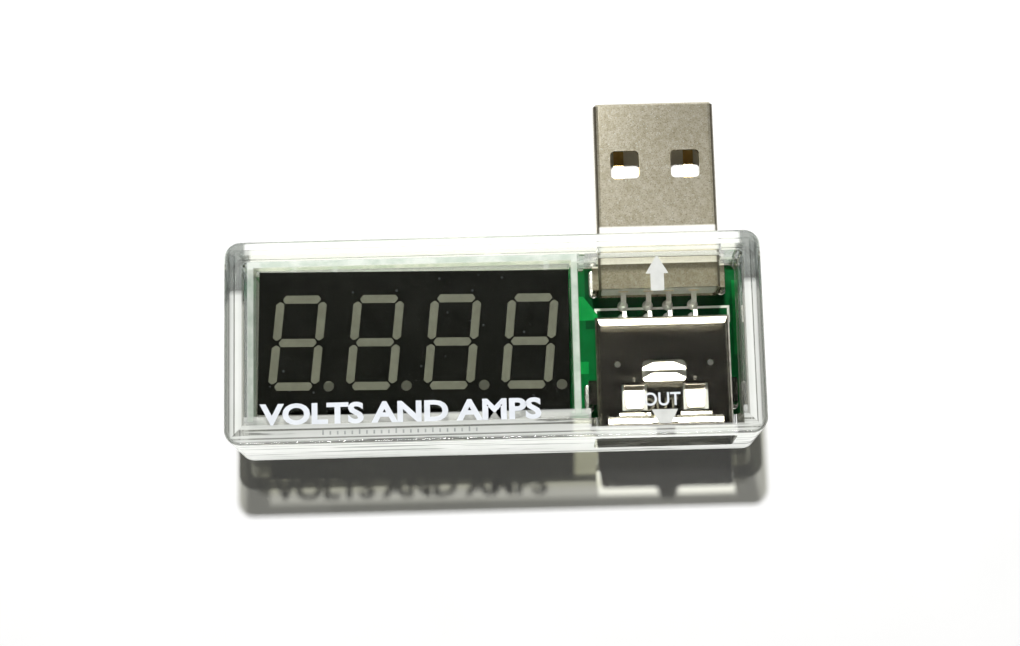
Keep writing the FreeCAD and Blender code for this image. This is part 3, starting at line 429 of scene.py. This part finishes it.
def plain(name, low, high, rough=(0.35, 0.5), grain=1500, bump=0.15, depth=0.00002, **sockets):
    """A mottled surface: two close colours, uneven gloss and a fine grain."""
    m = Nodes(name)
    m.set(**sockets)
    m.colour(m.ramp(m.noise(grain / 2, 5), low, high))
    m.rough(m.range(m.noise(grain, 6), *rough))
    m.bump(m.noise(grain * 2, 5), bump, depth)
    return m.material


def black_face():
    """The printed display face, with a little dust on it."""
    m = Nodes("display_black_mat")
    base = m.ramp(m.noise(350), (0.005, 0.0054, 0.0046), (0.009, 0.0095, 0.008))
    dust = m.range(m.spots(620), 1, 0, 0.05, 0.09)
    m.colour(m.mix(dust, base, (0.05, 0.055, 0.06)))
    m.rough(m.range(m.noise(900), 0.06, 0.09))
    m.bump(m.noise(2600, 4), 0.05, 0.000002)
    return m.material


def speckled_nickel():
    """Dull nickel plate on the plug: speckled, darker towards its tip, with painted shade under the case lid
    and on its sloping sides, and a painted reflection as a bright band on top beside the case.
    """
    m = Nodes("plug_nickel_mat")
    y = m.axis("Y")
    fine = m.noise(7000, 3, 0.6)
    warm = m.ramp(m.noise(2400, 4, 0.65), (0.66, 0.6, 0.42), (0.9, 0.84, 0.66), 0.36, 0.64)
    flecked = m.mix(m.range(m.spots(2600), 1, 0, 0.1, 0.22), warm, (1.0, 1.0, 0.86))
    grain = m.mix(m.range(m.noise(8200, 3, 0.6), 0, 0.7, 0.54, 0.64), flecked, (0.34, 0.27, 0.17))
    plate = m.mix(m.range(y, 0, TIP_SHADE, PLUG_BASE, PLUG_TIP), grain, (0.03, 0.027, 0.02))

    from_rear = m.math("SUBTRACT", y, TIN_FRONT)
    normal = m.add("ShaderNodeNewGeometry").outputs["Normal"]
    side = m.math("ABSOLUTE", m.axis("X", normal))
    leaning = m.range(side, 0, SIDE_SHADE, *SIDE_SLOPE)
    rounded = m.math("MULTIPLY", leaning, m.range(side, 1, 0, *UPRIGHT_SLOPE))
    # Painted shade: the plug is darkened under the case lid and on its sloping sides.
    shade = m.math("MAXIMUM", m.profile(from_rear, PLUG_SHADE), rounded)
    # Painted reflection: a bright, less metallic band on the top faces, inside the lid and beside the case,
    # stands in for the glare of the case rim on the plate.
    upward = m.range(m.axis("Z", normal), 0, 1, *UPWARD_SLOPE)
    shine = m.math("MULTIPLY", m.profile(from_rear, PLUG_SHINE), upward)
    m.colour(m.mix(shine, m.mix(shade, plate, (0.06, 0.05, 0.035)), (1.0, 0.99, 0.95)))
    m.rough(m.range(fine, 0.08, 0.11))
    m.bump(fine, 0.3, 0.000007)
    m.link(m.range(shine, 0.62, 0, 0, 1), m.shader.inputs["Metallic"])
    return m.material


def bright_nickel():
    """Smooth nickel plate, with faint rolling marks, and duller where the sheet is bent or stamped."""
    m = Nodes("socket_nickel_mat")
    marks = m.noise(900, 4, 0.6, m.scaled(0.12, 1.6, 1.0))
    m.colour(m.ramp(marks, (0.34, 0.315, 0.27), (0.62, 0.58, 0.5), 0.35, 0.65))
    sloped = m.axis("Y", m.add("ShaderNodeNewGeometry").outputs["Normal"])
    smooth = m.range(m.noise(1400, 5), 0.05, 0.075)
    m.rough(m.math("MAXIMUM", smooth, m.range(sloped, 0.0, 0.26, 0.06, 0.12)))
    m.bump(marks, 0.12, 0.000004)
    m.set(Metallic=1.0)
    return m.material


def plated_contact():
    """Contact strips: tinned where they come out behind the plug, gold plated along its tongue."""
    m = Nodes("contact_gold_mat")
    gold = m.ramp(m.noise(750, 5), (0.7, 0.5, 0.2), (0.82, 0.62, 0.3))
    tin = m.ramp(m.noise(900, 5), (0.86, 0.85, 0.82), (0.95, 0.94, 0.91))
    y = m.axis("Y")
    plug_tail = m.math("MULTIPLY", below(m, y, TIN_FRONT, TIN_BLEND), above(m, y, TIN_REAR, TIN_BLEND))
    m.colour(m.mix(plug_tail, gold, tin))
    m.rough(m.range(m.noise(1500, 6), 0.28, 0.4))
    m.bump(m.noise(3000, 5), 0.15, 0.00001)
    m.link(m.range(plug_tail, 1, 0.4, 0, 1), m.shader.inputs["Metallic"])
    return m.material


def lit_segments():
    """Unlit grey segments; the decimal points at their right are darker."""
    m = Nodes("segment_grey_mat")
    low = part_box("display_segments")[0]
    bars = m.ramp(m.noise(1100, 5), (0.145, 0.15, 0.12), (0.18, 0.185, 0.15))
    in_digit = m.math("FRACT", m.math("DIVIDE", m.math("SUBTRACT", m.axis("X"), low.x), DIGIT_PITCH))
    dot = m.math("MULTIPLY", above(m, in_digit, DOT_START, DOT_BLEND), below(m, m.axis("Y"), low.y + DOT_TOP))
    m.colour(m.mix(dot, bars, (0.085, 0.088, 0.072)))
    m.rough(m.range(m.noise(2200, 6), 0.08, 0.11))
    m.bump(m.noise(4400, 5), 0.03, 0.00002)
    return m.material


def make_materials():
    metal = {"Metallic": 1.0}
    return {
        "clear_case": clear_plastic(),
        "board_green": board_green(),
        "pad_gold": plain("pad_gold_mat", (0.72, 0.52, 0.24), (0.84, 0.64, 0.34), (0.25, 0.4), **metal),
        "display_grey": plain("display_grey_mat", (0.5, 0.5, 0.48), (0.58, 0.58, 0.56), (0.5, 0.62)),
        "display_black": black_face(),
        "segment_grey": lit_segments(),
        "tinned_pin": plain("tinned_pin_mat", (0.66, 0.65, 0.62), (0.76, 0.75, 0.72), (0.22, 0.38), **metal),
        "solder": plain("solder_mat", (0.9, 0.9, 0.88), (0.98, 0.98, 0.96), (0.16, 0.26), 1800, 0.3,
                        Metallic=0.35),
        "plug_nickel": speckled_nickel(),
        "socket_nickel": bright_nickel(),
        "insulator_white": plain("insulator_white_mat", (0.78, 0.78, 0.75), (0.84, 0.84, 0.82), (0.42, 0.55)),
        "contact_gold": plated_contact(),
        "chip_black": plain("chip_black_mat", (0.012, 0.012, 0.012), (0.025, 0.025, 0.025), (0.5, 0.66), 3000,
                            0.4),
        "resistor_black": plain("resistor_black_mat", (0.012, 0.012, 0.014), (0.03, 0.03, 0.034),
                                (0.3, 0.45)),
        "capacitor_tan": plain("capacitor_tan_mat", (0.3, 0.2, 0.11), (0.38, 0.26, 0.15), (0.4, 0.55)),
    }


def dress_nodes(materials):
    slots = {s["node"]: s["material_slot"] for s in frame["record"]["subparts"]}
    smooth = plain("smooth_solder_mat", (0.6, 0.6, 0.58), (0.72, 0.72, 0.7), (0.14, 0.22), 1800, 0.2,
                   Metallic=1.0)
    for node, piece in frame["nodes"].items():
        material = smooth if node == SMOOTH_SOLDER_NODE else materials[slots[node]]
        if not piece.data.materials:
            piece.data.materials.append(material)
        for index in range(len(piece.data.materials)):
            piece.data.materials[index] = material


# ---------------------------------------------------------------- printed and etched pieces

FILM = 0.012


def print_ink(name, low, high):
    return plain(name, low, high, (0.45, 0.6), 1800, 0.2)


def finish_piece(piece, material):
    piece.data.materials.clear()
    piece.data.materials.append(material)
    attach(piece, BODY)
    return piece


def slab(name, outlines, z, thickness, material):
    """Flat printed or etched shapes: each outline is a list of (x, y) in millimetres."""
    mesh = bpy.data.meshes.new(name)
    bm = bmesh.new()
    for outline in outlines:
        face = bm.faces.new([bm.verts.new((x * MM, y * MM, z)) for x, y in outline])
        if face.normal.z < 0:
            face.normal_flip()
        raised = bmesh.ops.extrude_face_region(bm, geom=[face])
        top = [v for v in raised["geom"] if isinstance(v, bmesh.types.BMVert)]
        bmesh.ops.translate(bm, verts=top, vec=(0, 0, thickness * MM))
    bmesh.ops.recalc_face_normals(bm, faces=bm.faces)
    bm.to_mesh(mesh)
    bm.free()
    piece = bpy.data.objects.new(name, mesh)
    bpy.context.scene.collection.objects.link(piece)
    return finish_piece(piece, material)


def rectangle(x0, x1, y0, y1):
    return [(x0, y0), (x1, y0), (x1, y1), (x0, y1)]


def lettering(name, text, layout, z, weight, material):
    """Printed letters, fitted between two sides and to a capital height."""
    left, right, base, height = layout
    curve = bpy.data.curves.new(name + "_curve", "FONT")
    curve.body = text
    curve.size = 1.0
    curve.offset = weight
    curve.extrude = 0.5
    curve.resolution_u = 4
    letters = bpy.data.objects.new(name + "_source", curve)
    bpy.context.scene.collection.objects.link(letters)
    bpy.context.view_layer.update()
    mesh = bpy.data.meshes.new_from_object(letters.evaluated_get(bpy.context.evaluated_depsgraph_get()))
    bpy.data.objects.remove(letters)
    xs = [v.co.x for v in mesh.vertices]
    ys = [v.co.y for v in mesh.vertices]
    wide = (right - left) / (max(xs) - min(xs))
    tall = height / (max(ys) - min(ys))
    for v in mesh.vertices:
        v.co = (
            (left + (v.co.x - min(xs)) * wide) * MM,
            (base + (v.co.y - min(ys)) * tall) * MM,
            z + (v.co.z + 0.5) * FILM * MM,
        )
    mesh.name = name
    piece = bpy.data.objects.new(name, mesh)
    bpy.context.scene.collection.objects.link(piece)
    return finish_piece(piece, material)


# Millimetres. A layout is the left side, the right side, the base line and the capital height.
TITLE_LAYOUT = (-22.6, 4.4, -8.18, 2.1)
TITLE_WEIGHT = 0.036
OUT_LAYOUT = (14.2, 17.75, -7.2, 1.3)
OUT_WEIGHT = 0.012
TICK_COUNT = 22
TICK_GROUP = 5
TICK_START = -16.6
TICK_PITCH = 0.7
TICK_WIDTH = 0.16
TICK_BASE = -9.2
LONG_TICK = 0.5
SHORT_TICK = 0.34
ARROW_IN = (
    (14.83, 5.75), (15.3, 5.75), (15.3, 4.05), (16.6, 4.05), (16.6, 5.75), (17.05, 5.75), (15.97, 7.6),
)
ARROW_OUT = ((14.95, -7.55), (15.6, -8.9), (16.8, -8.9), (17.45, -7.55))


def print_on_case():
    """Pale marks on the lid: generic wording, range ticks, and an arrow towards each connector."""
    white = print_ink("print_white_mat", (0.58, 0.61, 0.65), (0.7, 0.73, 0.77))
    thin = print_ink("print_thin_mat", (0.5, 0.51, 0.48), (0.6, 0.61, 0.58))
    small = print_ink("print_small_mat", (0.2, 0.22, 0.21), (0.34, 0.36, 0.34))
    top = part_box("case_top")[1].z
    lettering("print_title", "VOLTS AND AMPS", TITLE_LAYOUT, top, TITLE_WEIGHT, white)
    lettering("print_out", "OUT", OUT_LAYOUT, top, OUT_WEIGHT, white)
    ticks = []
    for index in range(TICK_COUNT):
        x = TICK_START + index * TICK_PITCH
        tall = SHORT_TICK if index % TICK_GROUP else LONG_TICK
        ticks.append(rectangle(x, x + TICK_WIDTH, TICK_BASE, TICK_BASE + tall))
    slab("print_ticks", ticks, top, FILM, small)
    slab("print_arrow_in", [ARROW_IN], top, FILM, thin)
    slab("print_arrow_out", [ARROW_OUT], top, FILM, thin)


DISC_SIDES = 20
LEGEND_LINE = 0.24
LEGEND_THICKNESS = 0.02
COPPER_TOP_THICKNESS = 0.03
COPPER_UNDER_THICKNESS = 0.015


def disc(x, y, radius):
    turns = [2 * math.pi * index / DISC_SIDES for index in range(DISC_SIDES)]
    return [(x + radius * math.cos(turn), y + radius * math.sin(turn)) for turn in turns]


def outline_frame(x, y, wide, tall, line):
    """Four thin bars round a place on the board."""
    left, right, near, far = x - wide / 2, x + wide / 2, y - tall / 2, y + tall / 2
    return [
        rectangle(left, right, near, near + line),
        rectangle(left, right, far - line, far),
        rectangle(left, left + line, near + line, far - line),
        rectangle(right - line, right, near + line, far - line),
    ]


SMALL_PLACES = (
    (-19.6, 3.0), (-19.6, 1.4), (-19.6, -0.2), (-19.6, -1.8), (-14.0, -3.0), (-14.0, 3.0),
    (-1.2, 0.9), (-1.2, -0.9), (-19.6, -3.6), (7.4, -3.6), (7.4, 3.6), (-1.2, -3.4), (-1.2, 3.4),
)


def etch_board():
    """Legend lines and raised copper under the solder mask, on both faces of the board."""
    low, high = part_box("circuit_board")
    white = plain("legend_white_mat", (0.78, 0.8, 0.78), (0.88, 0.9, 0.88), (0.5, 0.65), 2600, 0.3)
    copper = plain("masked_copper_mat", (0.003, 0.23, 0.045), (0.006, 0.3, 0.06), (0.07, 0.1), 1500, 0.03)
    line = LEGEND_LINE
    slab("legend_socket", [
        rectangle(10.05, 23.6, 3.8, 3.8 + line),
        rectangle(10.05, 10.05 + line, 2.3, 3.8),
        rectangle(23.6 - line, 23.6, 2.3, 3.8),
    ], high.z, LEGEND_THICKNESS, white)
    slab("copper_top", [
        [(8.35, 5.3), (8.95, 5.3), (10.35, 3.4), (10.35, 2.85), (8.35, 2.85)],
        rectangle(8.45, 9.3, -2.6, -1.35),
        rectangle(23.9, 24.4, -1.0, 6.6),
    ], high.z, COPPER_TOP_THICKNESS, copper)

    frames = outline_frame(-7.85, -0.2, 7.4, 6.6, line) + outline_frame(16.4, -1.6, 7.1, 4.0, line)
    for y in (-3.6, 3.6):
        frames += outline_frame(3.2, y, 3.5, 3.8, line)
    for x, y in SMALL_PLACES:
        frames += outline_frame(x, y, 2.3, 1.25, line / 2)
    frames += [disc(-11.0, -2.95, 0.3), disc(1.95, -5.0, 0.2), disc(1.95, 2.2, 0.2)]
    slab("legend_under", frames, low.z - LEGEND_THICKNESS * MM, LEGEND_THICKNESS, white)
    tracks = [rectangle(-18.5, -12.3, y - 0.15, y + 0.15) for y in (-1.8, -0.2, 1.4, 3.0)]
    tracks += [rectangle(-4.0, -2.2, y - 0.12, y + 0.12) for y in (-0.9, 0.9)]
    tracks += [
        [(20.2, -3.0), (21.3, -3.0), (21.3, 5.0), (18.4, 5.0), (18.4, 1.0), (20.2, 1.0)],
        [(11.3, -3.0), (12.5, -3.0), (12.5, 1.0), (14.2, 1.0), (14.2, 5.0), (11.3, 5.0)],
        rectangle(5.2, 11.3, -1.3, 1.3),
        rectangle(-22.8, 22.8, 7.2, 7.9),
    ]
    slab("copper_under", tracks, low.z - COPPER_UNDER_THICKNESS * MM, COPPER_UNDER_THICKNESS, copper)


# ---------------------------------------------------------------- studio

FLOOR_SIZE = 3
FLOOR_GAP = 0.0001
SKY_STRENGTH = 0.09
SKY_PALE = (0.55, (1, 1, 0.94, 1))
SKY_DARK = (0.9, (0.012, 0.012, 0.012, 1))
KEY_DIRECTION = (-0.03, 0.415, 0.91)
KEY_DISTANCE = 0.55
KEY_SIZE = 0.028
KEY_POWER = 3.8
FILL_PLACE = (0.05, -0.8, 0.032)
FILL_TARGET = (0, 0, 0.006)
FILL_SIZE = (0.5, 0.04)
FILL_POWER = 4.3


def area_light(name, place, target, size, power):
    data = bpy.data.lights.new(name, "AREA")
    data.shape = "RECTANGLE"
    data.size, data.size_y = size
    data.energy = power
    light = bpy.data.objects.new(name, data)
    light.location = place
    aim = Vector(target) - Vector(place)
    light.rotation_euler = aim.to_track_quat("-Z", "Y").to_euler()
    bpy.context.scene.collection.objects.link(light)


def build_studio():
    bpy.ops.mesh.primitive_plane_add(size=FLOOR_SIZE, location=(0, 0, -FLOOR_GAP))
    floor = bpy.context.active_object
    floor.name = "floor"
    m = Nodes("floor_mat")
    m.colour(m.ramp(m.noise(60), (0.86, 0.86, 0.855), (0.88, 0.88, 0.875)))
    m.rough(m.range(m.noise(200), 0.75, 0.85))
    floor.data.materials.append(m.material)

    world = bpy.data.worlds.new("studio")
    world.use_nodes = True
    bpy.context.scene.world = world
    tree = world.node_tree
    split = tree.nodes.new("ShaderNodeSeparateXYZ")
    tree.links.new(tree.nodes.new("ShaderNodeTexCoord").outputs["Generated"], split.inputs["Vector"])
    ramp = tree.nodes.new("ShaderNodeValToRGB")
    for element, (height, colour) in zip(ramp.color_ramp.elements, (SKY_PALE, SKY_DARK)):
        element.position = height
        element.color = colour
    tree.links.new(split.outputs["Z"], ramp.inputs["Fac"])
    background = tree.nodes["Background"]
    tree.links.new(ramp.outputs["Color"], background.inputs["Color"])
    background.inputs["Strength"].default_value = SKY_STRENGTH

    area_light("key", Vector(KEY_DIRECTION) * KEY_DISTANCE, (0, 0, 0), (KEY_SIZE, KEY_SIZE), KEY_POWER)
    area_light("front_fill", FILL_PLACE, FILL_TARGET, FILL_SIZE, FILL_POWER)
    scene = bpy.context.scene
    scene.view_settings.view_transform = "Standard"
    scene.view_settings.look = "None"


add_camera()
finishes = make_materials()
dress_nodes(finishes)
print_on_case()
etch_board()
build_studio()
